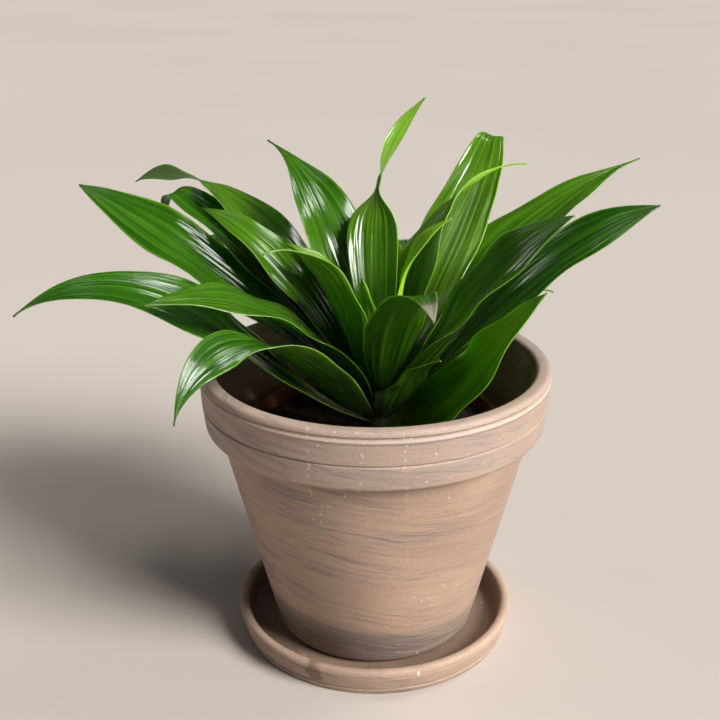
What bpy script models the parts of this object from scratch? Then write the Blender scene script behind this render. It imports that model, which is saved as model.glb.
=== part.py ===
"""A young dracaena in its thin nursery pot, standing in a clay pot on a clay saucer.

Metres, +Z up. The origin is the centre of the saucer's underside, on the table.
Each leaf, the stem, the potting soil and each holder is a closed solid of its own.
"""

import math
from collections import namedtuple

import bmesh
import bpy
import numpy as np

MM = 0.001
GAP = 0.3 * MM

# Saucer
SAUCER_FOOT_RADIUS = 63.6 * MM
SAUCER_LIP_RADIUS = 66.5 * MM
SAUCER_LIP_INNER_RADIUS = 62.3 * MM
SAUCER_HEIGHT = 13.6 * MM
SAUCER_FLOOR = 3.6 * MM
SAUCER_FLOOR_RADIUS = 58.0 * MM

# Clay pot
POT_BASE = SAUCER_FLOOR + GAP
POT_TOP = 136.0 * MM
POT_FOOT_RADIUS = 47.0 * MM
POT_FOOT_ROUND = 4.0 * MM
POT_SHOULDER_RADIUS = 72.4 * MM
POT_WALL = 6.0 * MM
POT_FLOOR = 8.5 * MM
DRAIN_HOLE_RADIUS = 8.0 * MM
COLLAR_BOTTOM = 108.9 * MM
COLLAR_BOTTOM_RADIUS = 77.9 * MM
COLLAR_RADIUS = 80.0 * MM
INCISED_LINE = 120.5 * MM
BEAD = 131.1 * MM
GROOVE = 132.8 * MM
MOUTH_RADIUS = 73.1 * MM
POT_SIDES = 60

# Nursery pot, standing on the clay pot's floor
NURSERY_BASE = POT_BASE + POT_FLOOR + GAP
NURSERY_TOP = 108.0 * MM
NURSERY_RIM_RADIUS = 58.3 * MM
NURSERY_RADIUS = 56.9 * MM
NURSERY_FOOT_RADIUS = 40.0 * MM
NURSERY_WALL = 1.0 * MM
NURSERY_SIDES = 48
SLOT_COUNT = 6
SLOT_RADIUS = 4.0 * MM
SLOT_RING = 27.0 * MM

# Potting soil and stem
SOIL_TOP = 102.0 * MM
SOIL_LUMP = 0.7 * MM
SOIL_EDGE_FADE = 6.0 * MM
SOIL_STEM_FADE = 8.0 * MM
STEM_X = 3.0 * MM
STEM_RADIUS = 6.4 * MM
STEM_FOOT = 58.0 * MM
STEM_TOP = 149.0 * MM
STEM_SIDES = 18

# Leaves
SEAT_RADIUS = 7.5 * MM
BLADE = 0.8 * MM
TIP_WIDTH = 1.2 * MM
STATIONS = 15
COLUMNS = 5
CHANNEL = 20.0
WAVE = 0.10
WAVES = 3.0
GOLDEN_TURN = 0.382

# A leaf leaves the stem at an azimuth and a seat height, and its length and width are in
# millimetres. Rise is the midrib's angle above level at the base, half way and at the tip.
# Turn is how far its heading has swung at the tip, and roll how far the blade leans over at
# the base and at the tip. Angles are in degrees. Widest is where the blade is widest, point
# how slender its tip is, and clasp the width at the stem as a share of the full width. Hook
# bends the tip over from hook_at on. A neck narrows the blade where it twists over.
Leaf = namedtuple(
    "Leaf",
    "azimuth seat length width rise turn roll widest point clasp hook hook_at neck neck_at neck_span twist",
    defaults=(0, (0, 0), 0.45, 1.1, 0.24, 0, 0.86, 0, 0.62, 0.07, 0),
)

# From the lowest seat to the highest
LEAVES = [
    Leaf(84, 105, 150, 34, (39, 29, -38)),
    Leaf(197.5, 107, 176, 36, (24, 37, -39), turn=-9, roll=(8, -42), point=1.6),
    Leaf(-41, 108, 110, 37, (12, 53, 46), turn=6, roll=(42, 48), widest=0.35, clasp=0.3),
    Leaf(222, 110, 140, 35, (37, 30, -74), turn=17, roll=(18, -5), widest=0.42, point=1.4, clasp=0.18,
         neck=0.62, neck_at=0.61, neck_span=0.12, twist=-50),
    Leaf(134, 110, 150, 34, (34, 32, -24)),
    Leaf(-62, 111, 60, 20, (43, 50, 20), roll=(0, 10)),
    Leaf(35, 111, 112, 30, (34, 28, -24)),
    Leaf(103, 113, 150, 33, (41, 31, -26)),
    Leaf(-5, 114, 148, 33, (44, 45, 17), turn=6, roll=(-18, 44), widest=0.5, point=1.0),
    Leaf(63, 116, 135, 32, (42, 28, -26)),
    Leaf(163.5, 116, 168, 36, (40, 34, 24), roll=(20, -38), widest=0.52, point=0.9),
    Leaf(35.5, 118, 186, 37, (49, 31, 8), roll=(2, 6), widest=0.46, point=1.8),
    Leaf(145.5, 120, 155, 28, (47, 33.5, 19), turn=1, roll=(6, -8), widest=0.56, point=0.75, hook=110),
    Leaf(207, 120, 126, 32, (60, 31, 0), turn=15, roll=(6, -22)),
    Leaf(-18, 121, 116, 36, (51, 54, 28), turn=8, roll=(-12, 50), widest=0.43),
    Leaf(140, 122, 197, 30, (51, 29, -28), turn=-4, roll=(0, 10), point=1.3, neck=0.75,
         neck_at=0.75, neck_span=0.09, twist=80),
    Leaf(52, 122, 160, 32, (57, 43, 38), turn=22, roll=(4, 10), point=0.9, hook=130, hook_at=0.84),
    Leaf(163, 124, 115, 27, (56, 47, 8), turn=-14, roll=(-6, -20)),
    Leaf(-82, 125, 104, 26, (59, 45, 9), turn=15, roll=(6, 0), point=0.9, hook=66, hook_at=0.8),
    Leaf(90, 125, 94, 26, (70, 44, 0)),
    Leaf(220, 128, 98, 24, (60, 62, -10), turn=6, roll=(0, 6), point=1.6),
    Leaf(128, 129, 130, 34, (72, 54, 12), turn=2, roll=(-6, -10), widest=0.44, point=1.9),
    Leaf(41, 130, 122, 28, (67, 62, -6), turn=-34, roll=(0, -10), widest=0.36, point=3.0, neck=0.5,
         neck_at=0.72, twist=-80),
    Leaf(174, 133, 69, 21, (73, 64, 18), turn=-3, roll=(0, -14)),
    Leaf(-50, 134, 80, 14, (79, 77, 26), turn=50, roll=(10, 45), point=1.2),
    Leaf(105, 138, 123, 24, (80, 65, 48), turn=-108, widest=0.4, neck=0.85, neck_at=0.61,
         neck_span=0.08, twist=-70),
    Leaf(226, 144, 34, 12, (78, 82, 84)),
]


def material(name, colour, roughness):
    """A plain dielectric finish."""
    finish = bpy.data.materials.new(name)
    finish.use_nodes = True
    shader = finish.node_tree.nodes["Principled BSDF"]
    shader.inputs["Base Color"].default_value = (*colour, 1.0)
    shader.inputs["Roughness"].default_value = roughness
    shader.inputs["Metallic"].default_value = 0.0
    return finish


def add_object(name, shape, finish, crease=35.0):
    """Link a bmesh as one smooth-shaded object at the origin."""
    bmesh.ops.recalc_face_normals(shape, faces=shape.faces[:])
    mesh = bpy.data.meshes.new(name)
    shape.to_mesh(mesh)
    shape.free()
    mesh.shade_smooth()
    mesh.set_sharp_from_angle(angle=math.radians(crease))
    mesh.materials.append(finish)
    piece = bpy.data.objects.new(name, mesh)
    bpy.context.scene.collection.objects.link(piece)
    return piece


def rounded(centre_r, centre_z, radius, start, end, steps):
    """Profile points along an arc, its angles in degrees from the outward direction."""
    points = []
    for i in range(steps + 1):
        a = math.radians(start + (end - start) * i / steps)
        points.append((centre_r + radius * math.cos(a), centre_z + radius * math.sin(a)))
    return points


def turned(name, profile, finish, sides, offset=None, lift=None, closed=False):
    """Turn a profile of (radius, height) points about an upright axis.

    A point at radius 0 closes the shape on its axis. A closed profile makes a ring.
    Offset moves a ring along X, from its radius and height. Lift gives a point's extra
    height, from its radius, angle and height.
    """
    shape = bmesh.new()
    rings = []
    for radius, z in profile:
        count = sides if radius > 0 else 1
        centre_x = offset(radius, z) if offset else 0.0
        ring = []
        for k in range(count):
            a = math.tau * k / sides
            raised = lift(radius, a, z) if lift else 0.0
            ring.append(shape.verts.new(
                (centre_x + radius * math.cos(a), radius * math.sin(a), z + raised)))
        rings.append(ring)
    pairs = list(zip(rings, rings[1:]))
    if closed:
        pairs.append((rings[-1], rings[0]))
    for low, high in pairs:
        for k in range(sides):
            corners = [low[k % len(low)], low[(k + 1) % len(low)],
                       high[(k + 1) % len(high)], high[k % len(high)]]
            shape.faces.new(list(dict.fromkeys(corners)))
    return add_object(name, shape, finish)


def make_saucer(finish):
    lip = (SAUCER_LIP_RADIUS - SAUCER_LIP_INNER_RADIUS) / 2
    lip_centre = (SAUCER_LIP_INNER_RADIUS + lip, SAUCER_HEIGHT - lip)
    foot_edge = 1.0 * MM
    line_depth = 0.4 * MM
    line_height = 3.0 * MM
    profile = [
        (0.0, 0.0),
        (SAUCER_FOOT_RADIUS - foot_edge, 0.0),
        (SAUCER_FOOT_RADIUS, foot_edge),
        (SAUCER_FOOT_RADIUS + 0.4 * MM, line_height - 2 * line_depth),
        (SAUCER_FOOT_RADIUS + 0.1 * MM, line_height),
        (SAUCER_FOOT_RADIUS + 0.9 * MM, line_height + 2 * line_depth),
        *rounded(*lip_centre, lip, -10, 180, 5),
        (SAUCER_FLOOR_RADIUS + 1.5 * MM, SAUCER_FLOOR + 1.2 * MM),
        (SAUCER_FLOOR_RADIUS, SAUCER_FLOOR),
        (0.0, SAUCER_FLOOR),
    ]
    return turned("saucer", profile, finish, POT_SIDES)


def make_clay_pot(finish):
    """A tapered pot with a collar, an incised line, a bead and a groove under its lip."""
    lip = 2.6 * MM
    cut = 0.5 * MM
    line = 0.9 * MM
    foot_centre = (POT_FOOT_RADIUS - POT_FOOT_ROUND, POT_BASE + POT_FOOT_ROUND)
    inner_floor = POT_BASE + POT_FLOOR
    inner_foot = POT_FOOT_RADIUS - POT_WALL + 0.6 * MM
    collar_round = 1.2 * MM
    profile = [
        (DRAIN_HOLE_RADIUS, POT_BASE),
        *rounded(*foot_centre, POT_FOOT_ROUND, -90, -6, 3),
        (POT_SHOULDER_RADIUS, COLLAR_BOTTOM - 0.4 * MM),
        (COLLAR_BOTTOM_RADIUS - collar_round, COLLAR_BOTTOM),
        (COLLAR_BOTTOM_RADIUS, COLLAR_BOTTOM + collar_round),
        (COLLAR_RADIUS - 1.0 * MM, INCISED_LINE - line),
        (COLLAR_RADIUS - 1.0 * MM - cut, INCISED_LINE),
        (COLLAR_RADIUS - 0.9 * MM, INCISED_LINE + line),
        (COLLAR_RADIUS - 0.5 * MM, BEAD - line),
        (COLLAR_RADIUS, BEAD),
        (COLLAR_RADIUS - 0.2 * MM, BEAD + 0.8 * MM),
        (COLLAR_RADIUS - cut, GROOVE),
        *rounded(COLLAR_RADIUS - lip, POT_TOP - lip, lip, 10, 90, 3),
        *rounded(MOUTH_RADIUS + lip, POT_TOP - lip, lip, 90, 180, 3),
        (POT_SHOULDER_RADIUS - POT_WALL, COLLAR_BOTTOM - 8 * MM),
        (inner_foot, inner_floor + 2 * MM),
        (inner_foot - 2 * MM, inner_floor),
        (DRAIN_HOLE_RADIUS, inner_floor),
    ]
    return turned("clay_pot", profile, finish, POT_SIDES, closed=True)


def make_nursery_pot(finish):
    """A thin moulded pot with a rolled rim and drainage holes in its floor."""
    rim = 3.0 * MM
    floor = NURSERY_BASE + NURSERY_WALL
    inner_rim = NURSERY_RADIUS - NURSERY_WALL
    profile = [
        (0.0, NURSERY_BASE),
        (NURSERY_FOOT_RADIUS - 1.0 * MM, NURSERY_BASE),
        (NURSERY_FOOT_RADIUS, NURSERY_BASE + 1.0 * MM),
        (NURSERY_RADIUS, NURSERY_TOP - rim),
        (NURSERY_RIM_RADIUS, NURSERY_TOP - rim),
        (NURSERY_RIM_RADIUS, NURSERY_TOP - 0.4 * MM),
        (NURSERY_RIM_RADIUS - 0.4 * MM, NURSERY_TOP),
        (inner_rim + 0.4 * MM, NURSERY_TOP),
        (inner_rim, NURSERY_TOP - 0.4 * MM),
        (NURSERY_FOOT_RADIUS - NURSERY_WALL, floor),
        (0.0, floor),
    ]
    pot = turned("nursery_pot", profile, finish, NURSERY_SIDES)
    cutters = bmesh.new()
    for k in range(SLOT_COUNT):
        a = math.tau * k / SLOT_COUNT
        made = bmesh.ops.create_cone(cutters, cap_ends=True, segments=12, radius1=SLOT_RADIUS,
                                     radius2=SLOT_RADIUS, depth=6 * MM)
        bmesh.ops.translate(cutters, verts=made["verts"],
                            vec=(SLOT_RING * math.cos(a), SLOT_RING * math.sin(a), NURSERY_BASE))
    cutter = add_object("drain_cutters", cutters, finish)
    cutter.hide_render = True
    cutter.display_type = "WIRE"
    cut = pot.modifiers.new("drain_holes", "BOOLEAN")
    cut.operation = "DIFFERENCE"
    cut.object = cutter
    return pot


def soil_height(radius, angle, z):
    """Low lumps on the soil's top, none at its edge or round the stem."""
    if z < SOIL_TOP - 0.1 * MM:
        return 0.0
    lumps = (math.sin(3 * angle + 310 * radius) + math.sin(5 * angle - 190 * radius + 1.7)) / 2
    edge = NURSERY_RADIUS - NURSERY_WALL - radius
    outer = min(1.0, max(0.0, edge / SOIL_EDGE_FADE))
    inner = min(1.0, max(0.0, (radius - STEM_RADIUS) / SOIL_STEM_FADE))
    return SOIL_LUMP * lumps * outer * inner


def make_soil(finish):
    """The root ball: it fills the nursery pot, with a plain hole that the stem stands in."""
    bottom = NURSERY_BASE + NURSERY_WALL + GAP
    slope = (NURSERY_RADIUS - NURSERY_FOOT_RADIUS) / (NURSERY_TOP - NURSERY_BASE)
    foot = NURSERY_FOOT_RADIUS - NURSERY_WALL - 2 * GAP
    edge = foot + slope * (SOIL_TOP - bottom)
    hole = STEM_RADIUS + GAP
    rings = 6

    def round_the_stem(radius, z):
        return 0.0 if z < STEM_FOOT else STEM_X * min(1.0, (edge - radius) / (edge - hole))

    top = [(hole + (edge - hole) * i / rings, SOIL_TOP) for i in range(rings + 1)]
    profile = [
        (0.0, STEM_FOOT),
        (hole, STEM_FOOT),
        *top,
        (foot, bottom),
        (0.0, bottom),
    ]
    return turned("potting_soil", profile, finish, NURSERY_SIDES, offset=round_the_stem,
                  lift=soil_height)


def make_stem(finish):
    crown = 3.0 * MM
    profile = [
        (0.0, STEM_FOOT + GAP),
        (STEM_RADIUS, STEM_FOOT + GAP),
        (STEM_RADIUS, STEM_TOP - crown),
        (0.8 * STEM_RADIUS, STEM_TOP - 0.3 * crown),
        (0.0, STEM_TOP),
    ]
    return turned("stem", profile, finish, STEM_SIDES, offset=lambda radius, z: STEM_X)


def eased(t):
    """A smooth step from 0 to 1."""
    t = np.clip(t, 0.0, 1.0)
    return t * t * (3.0 - 2.0 * t)


def along_leaf(leaf, s):
    """The midrib's points, its across and up directions, and its slope, at shares s of its length."""
    base, middle, tip = leaf.rise
    slope = base * (1 - s) * (1 - 2 * s) + 4 * middle * s * (1 - s) + tip * s * (2 * s - 1)
    slope = np.radians(slope - leaf.hook * eased((s - leaf.hook_at) / (1 - leaf.hook_at)))
    heading = np.radians(leaf.azimuth + leaf.turn * s * s)
    lean = leaf.roll[0] + (leaf.roll[1] - leaf.roll[0]) * s
    lean = np.radians(lean + leaf.twist * eased((s - leaf.neck_at) / 0.2 + 0.5))
    ahead = np.stack([np.cos(slope) * np.cos(heading), np.cos(slope) * np.sin(heading),
                      np.sin(slope)], axis=-1)
    level = np.stack([-np.sin(heading), np.cos(heading), 0 * heading], axis=-1)
    above = np.cross(ahead, level)
    across = level * np.cos(lean)[:, None] + above * np.sin(lean)[:, None]
    steps = (ahead[1:] + ahead[:-1]) / 2 * np.diff(s)[:, None] * leaf.length * MM
    seat_angle = math.radians(leaf.azimuth)
    seat = np.array([STEM_X + SEAT_RADIUS * math.cos(seat_angle),
                     SEAT_RADIUS * math.sin(seat_angle), leaf.seat * MM])
    points = seat + np.vstack([np.zeros(3), np.cumsum(steps, axis=0)])
    return points, across, np.cross(ahead, across), slope


def half_width(leaf, s):
    """Half the blade's width: slender at the stem, widest part way, drawn out to the tip."""
    rise = leaf.point * leaf.widest / (1 - leaf.widest)
    outline = s ** rise * (1 - s) ** leaf.point
    outline /= leaf.widest ** rise * (1 - leaf.widest) ** leaf.point
    base = leaf.clasp * (1 - s) ** 3
    outline = outline * (1 - base) + base
    neck = 1 - leaf.neck * np.exp(-((s - leaf.neck_at) / leaf.neck_span) ** 2)
    return leaf.width * MM / 2 * outline * neck


def leaf_surface(leaf, phase):
    """A grid of points on the blade's middle surface, and its normals.

    Near the stem the blade curls round it, as nested leaves do. Further out it is a
    shallow channel with waved margins.
    """
    s = np.linspace(0, 1, STATIONS)
    v = np.linspace(-1, 1, COLUMNS)[None]
    points, across, above, slope = along_leaf(leaf, s)
    half = half_width(leaf, s)
    from_stem = np.hypot(points[:, 0] - STEM_X, points[:, 1])
    opened = eased((s - 0.15) / 0.5)
    nested = np.maximum(half * np.abs(np.sin(slope)) / from_stem, 0.001)
    curl = (nested * (1 - opened) + math.radians(CHANNEL) * opened)[:, None]
    half = half[:, None]
    side = half * np.sin(v * curl) / curl
    height = half * (1 - np.cos(v * curl)) / curl
    wave = np.sin(math.tau * (WAVES * s[:, None] + phase) + 1.6 * v)
    height = height + WAVE * half * v ** 2 * wave * eased((s[:, None] - 0.2) / 0.3)
    grid = points[:, None] + across[:, None] * side[..., None] + above[:, None] * height[..., None]
    normals = np.cross(np.gradient(grid, axis=0), np.gradient(grid, axis=1))
    normals[:-1] /= np.linalg.norm(normals[:-1], axis=-1, keepdims=True)
    normals[-1] = normals[-2]
    end = grid[-2, -1] - grid[-2, 0]
    grid[-1] = points[-1] + v.T * end / np.linalg.norm(end) * TIP_WIDTH / 2
    return grid, normals


def make_leaf(name, leaf, phase, finish):
    """A blade of even thickness, split into triangles alike on both faces."""
    grid, normals = leaf_surface(leaf, phase)
    shape = bmesh.new()
    upper = [[shape.verts.new(p) for p in row] for row in grid + normals * BLADE / 2]
    lower = [[shape.verts.new(p) for p in row] for row in grid - normals * BLADE / 2]

    def skin(a, b, c, d):
        shape.faces.new((a, b, c))
        shape.faces.new((a, c, d))

    for face in (upper, lower):
        for here, there in zip(face, face[1:]):
            for j in range(COLUMNS - 1):
                skin(here[j], there[j], there[j + 1], here[j + 1])
    for i in range(STATIONS - 1):
        for edge in (0, COLUMNS - 1):
            skin(upper[i][edge], lower[i][edge], lower[i + 1][edge], upper[i + 1][edge])
    for end in (0, STATIONS - 1):
        for j in range(COLUMNS - 1):
            skin(upper[end][j], upper[end][j + 1], lower[end][j + 1], lower[end][j])
    return add_object(name, shape, finish, crease=60.0)


def clear_scene():
    for old in list(bpy.data.objects):
        bpy.data.objects.remove(old, do_unlink=True)


def main():
    clear_scene()
    clay = (0.33, 0.25, 0.20)
    make_saucer(material("saucer_clay", clay, 0.85))
    make_clay_pot(material("pot_clay", clay, 0.85))
    make_nursery_pot(material("nursery_plastic", (0.16, 0.055, 0.03), 0.5))
    make_soil(material("soil", (0.02, 0.011, 0.008), 0.95))
    make_stem(material("stem_green", (0.12, 0.20, 0.05), 0.55))
    for number, leaf in enumerate(LEAVES, start=1):
        name = f"leaf_{number:02d}"
        shade = 0.02 + 0.04 * number / len(LEAVES)
        finish = material(name, (shade, 0.16 + 2 * shade, 0.012), 0.3)
        make_leaf(name, leaf, number * GOLDEN_TURN, finish)


main()
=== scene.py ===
"""The looks of a young dracaena in its nursery pot, in a clay pot on a clay saucer.

Metres, +Z up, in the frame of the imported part. Each leaf is grown by one node tree from its
own sizes, the holders are turned on a wheel, and the soil is strewn with crumbs.
"""

import math
from collections import namedtuple

import bmesh
import bpy
from mathutils import Matrix, Vector, noise


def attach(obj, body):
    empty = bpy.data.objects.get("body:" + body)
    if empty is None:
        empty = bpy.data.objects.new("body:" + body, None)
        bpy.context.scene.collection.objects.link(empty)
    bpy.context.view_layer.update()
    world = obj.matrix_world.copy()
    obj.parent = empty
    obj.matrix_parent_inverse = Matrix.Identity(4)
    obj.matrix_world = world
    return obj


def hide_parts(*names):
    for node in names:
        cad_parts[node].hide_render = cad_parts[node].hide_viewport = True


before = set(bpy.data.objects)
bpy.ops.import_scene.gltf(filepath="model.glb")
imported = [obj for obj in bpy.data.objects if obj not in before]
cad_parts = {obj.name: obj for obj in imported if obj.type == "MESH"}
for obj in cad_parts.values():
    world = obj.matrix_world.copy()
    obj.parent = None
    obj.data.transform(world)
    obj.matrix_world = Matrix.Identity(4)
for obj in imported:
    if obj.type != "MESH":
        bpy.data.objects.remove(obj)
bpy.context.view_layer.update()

MM = 0.001
GAP = 0.3
BODY = "root"

# Saucer. Sizes are in millimetres from here down to the leaves.
SAUCER_FOOT_RADIUS = 63.6
SAUCER_LIP_RADIUS = 66.5
SAUCER_LIP_INNER_RADIUS = 62.3
SAUCER_HEIGHT = 13.6
SAUCER_FLOOR = 3.6
SAUCER_FLOOR_RADIUS = 58.0

# Clay pot
POT_BASE = SAUCER_FLOOR + GAP
POT_TOP = 136.0
POT_FOOT_RADIUS = 47.0
POT_SHOULDER_RADIUS = 72.4
POT_WALL = 6.0
POT_FLOOR = 8.5
DRAIN_HOLE_RADIUS = 8.0
COLLAR_BOTTOM = 108.9
COLLAR_BOTTOM_RADIUS = 77.9
COLLAR_RADIUS = 80.0
INCISED_LINE = 120.5
BEAD = 131.1
GROOVE = 132.8
MOUTH_RADIUS = 73.1
CLAY_SIDES = 240

# Marks on the clay: runs of lime down the pot at these X, one stain on the saucer's lip, and
# the height of the damp band round the pot's foot
LIME_RUNS = (-27.0, -6.0, 12.0)
LIME_RUN_WIDTH = 0.7
LIP_STAIN = (-28.0, -60.0, 9.0)
LIP_STAIN_RADIUS = 5.0
DAMP_HEIGHT = 17.0

# Nursery pot
NURSERY_BASE = POT_BASE + POT_FLOOR + GAP
NURSERY_TOP = 108.0
NURSERY_RIM_RADIUS = 58.3
NURSERY_RADIUS = 56.9
NURSERY_FOOT_RADIUS = 40.0
NURSERY_WALL = 1.0
NURSERY_SIDES = 160
SLOT_COUNT = 6
SLOT_RADIUS = 4.0
SLOT_RING = 27.0

# Potting soil and stem
SOIL_TOP = 102.0
SOIL_LUMP = 0.7
SOIL_RINGS = 40
CRUMB_SIZE = 1.0
CRUMBS_PER_SQUARE_METRE = 190000.0
CRUMB_SEED = 7
STEM_X = 3.0
STEM_RADIUS = 6.4
STEM_FOOT = 58.0
STEM_TOP = 149.0
STEM_RINGS = 60
STEM_SIDES = 48
SCAR_DEPTH = 0.25
SCARS_PER_TURN = 1.4

# What all leaves share. Blade is its thickness, channel the half angle of its section's arc in
# degrees, and wave how far its margins rise and fall, as a share of half the width.
SEAT_RADIUS = 7.5
BLADE = 0.8
TIP_WIDTH = 0.7
CHANNEL = 20.0
WAVE = 0.10
WAVES = 3.0
PLEAT_DEPTH = 0.6
PLEATS = 4.5
GOLDEN_TURN = 0.382
STATIONS = 90
COLUMNS = 56

# A leaf leaves the stem at an azimuth and a seat height, and its length and width are in
# millimetres. Rise is the midrib's angle above level at the base, half way and at the tip.
# Turn is how far its heading has swung at the tip, and roll how far the blade leans over at
# the base and at the tip. Angles are in degrees. Widest is where the blade is widest, point
# how slender its tip is, and clasp the width at the stem as a share of the full width. Hook
# bends the tip over from hook_at on. A neck narrows the blade where it twists over. Youth is
# how fresh and yellow its green is at the base and at the tip. Bloom is how dulled its tip is,
# and well above 1 the tip is dry.
Leaf = namedtuple(
    "Leaf",
    "azimuth seat length width rise turn roll widest point clasp"
    " hook hook_at neck neck_at neck_span twist youth bloom",
    defaults=(0, (0, 0), 0.45, 1.1, 0.24, 0, 0.86, 0, 0.62, 0.07, 0, (0.15, 0.15), 0.35),
)

# From the lowest seat to the highest
LEAVES = [
    Leaf(84, 105, 150, 34, (39, 29, -38)),
    Leaf(197.5, 107, 176, 36, (24, 37, -39), turn=-9, roll=(8, -42), point=1.6, youth=(0.05, -0.1)),
    # This leaf's youth is raised to brighten it: painted light shining through a leaf that faces
    # away from the lamps
    Leaf(-41, 108, 110, 37, (12, 53, 46), turn=6, roll=(42, 48), widest=0.35, clasp=0.3,
         youth=(0.6, 0.4)),
    Leaf(222, 110, 140, 35, (37, 30, -74), turn=17, roll=(18, -5), widest=0.42, point=1.4,
         clasp=0.18, neck=0.62, neck_at=0.61, neck_span=0.12, twist=-50, youth=(0.25, -0.2),
         bloom=0.1),
    Leaf(134, 110, 150, 34, (34, 32, -24)),
    Leaf(-62, 111, 60, 20, (43, 50, 20), roll=(0, 10)),
    Leaf(35, 111, 112, 30, (34, 28, -24)),
    Leaf(103, 113, 150, 33, (41, 31, -26)),
    Leaf(-5, 114, 148, 33, (44, 45, 17), turn=6, roll=(-18, 44), widest=0.5, point=1.0,
         youth=(0.0, 0.0)),
    Leaf(63, 116, 135, 32, (42, 28, -26)),
    Leaf(163.5, 116, 168, 36, (40, 34, 24), roll=(20, -38), widest=0.52, point=0.9,
         youth=(0.1, 0.02)),
    Leaf(35.5, 118, 186, 37, (49, 31, 8), roll=(2, 6), widest=0.46, point=1.8,
         youth=(0.1, 0.15)),
    Leaf(145.5, 120, 155, 28, (47, 33.5, 19), turn=1, roll=(6, -8), widest=0.56, point=0.75,
         hook=110, youth=(0.05, 0.0), bloom=0.45),
    Leaf(207, 120, 126, 32, (60, 31, 0), turn=15, roll=(6, -22), youth=(0.08, 0.12)),
    Leaf(-18, 121, 116, 36, (51, 54, 28), turn=8, roll=(-12, 50), widest=0.43, youth=(0.1, 0.05)),
    Leaf(140, 122, 197, 30, (51, 29, -28), turn=-4, roll=(0, 10), point=1.3, neck=0.75,
         neck_at=0.75, neck_span=0.09, twist=80, youth=(0.06, 0.3), bloom=0.05),
    Leaf(52, 122, 160, 32, (57, 43, 38), turn=22, roll=(4, 10), point=0.9, hook=130, hook_at=0.84,
         youth=(0.22, 0.25), bloom=0.7),
    Leaf(163, 124, 115, 27, (56, 47, 8), turn=-14, roll=(-6, -20), youth=(0.08, 0.15)),
    Leaf(-82, 125, 104, 26, (59, 45, 9), turn=15, roll=(6, 0), point=0.9, hook=66, hook_at=0.8,
         youth=(0.05, 0.0), bloom=4.0),
    Leaf(90, 125, 94, 26, (70, 44, 0)),
    Leaf(220, 128, 98, 24, (60, 62, -10), turn=6, roll=(0, 6), point=1.6, youth=(0.18, 0.25)),
    Leaf(128, 129, 130, 34, (72, 54, 12), turn=2, roll=(-6, -10), widest=0.44, point=1.9,
         youth=(0.06, 0.05)),
    Leaf(41, 130, 122, 28, (67, 62, -6), turn=-34, roll=(0, -10), widest=0.36, point=3.0, neck=0.5,
         neck_at=0.72, twist=-80, youth=(0.1, 0.8)),
    Leaf(174, 133, 69, 21, (73, 64, 18), turn=-3, roll=(0, -14), youth=(0.35, 0.4)),
    Leaf(-50, 134, 80, 14, (79, 77, 26), turn=50, roll=(10, 45), point=1.2, youth=(1.0, 1.0)),
    Leaf(105, 138, 123, 24, (80, 65, 48), turn=-108, widest=0.4, neck=0.85, neck_at=0.61,
         neck_span=0.08, twist=-70, youth=(0.0, 0.5)),
    Leaf(226, 144, 34, 12, (78, 82, 84), youth=(0.35, 0.45)),
]

# Colours, as linear red, green and blue
CLAY = (0.355, 0.243, 0.180)
CLAY_WARM = (0.43, 0.300, 0.222)
CLAY_PALE = (0.47, 0.325, 0.235)
CLAY_STREAK = (0.158, 0.134, 0.134)
COLLAR_GREY = (0.40, 0.325, 0.28)
COLLAR_STREAK = (0.235, 0.215, 0.215)
# Painted highlight along the pot's bead
BEAD_HIGHLIGHT = (0.58, 0.49, 0.42)
FOOT_DAMP = (0.135, 0.120, 0.122)
SAUCER_INSIDE = (0.13, 0.080, 0.052)
LIP_BROWN = (0.13, 0.085, 0.058)
LIME = (0.75, 0.70, 0.62)
RUST = (0.36, 0.12, 0.04)
PLASTIC = (0.20, 0.065, 0.032)
PLASTIC_DUSTY = (0.10, 0.045, 0.028)
SOIL_BLACK = (0.010, 0.005, 0.0035)
SOIL_BROWN = (0.042, 0.018, 0.010)
SOIL_FIBRE = (0.12, 0.05, 0.022)
STEM_DARK = (0.018, 0.035, 0.007)
STEM_GREEN = (0.045, 0.075, 0.016)
STEM_BROWN = (0.035, 0.022, 0.009)
STEM_FRESH = (0.11, 0.24, 0.012)
LEAF_GREEN = (0.013, 0.070, 0.0015)
LEAF_YOUNG = (0.205, 0.420, 0.010)
STRIPE_GREEN = (0.050, 0.155, 0.005)
STRIPE_YOUNG = (0.280, 0.470, 0.025)
LEAF_MARGIN = (0.210, 0.330, 0.050)
LEAF_DULL = (0.060, 0.058, 0.024)
LEAF_DRY = (0.17, 0.145, 0.10)
UNDER_FACE = (0.012, 0.026, 0.002)
FLOOR_SHADE = (0.45, 0.405, 0.37)
FLOOR_LIGHT = (0.50, 0.45, 0.41)
DAYLIGHT = (1.0, 0.98, 0.95)
PANEL_WHITE = (1.0, 0.99, 0.97)
SKY_WHITE = (0.93, 0.96, 1.0, 1.0)

# Camera, from where the photograph was taken
CAMERA_PLACE = (-0.0050, -0.4636, 0.3139)
CAMERA_PITCH = 21.03
CAMERA_YAW = 0.22
CAMERA_ROLL = -0.226
SENSOR = 36.0
LENS = 54.36


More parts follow.
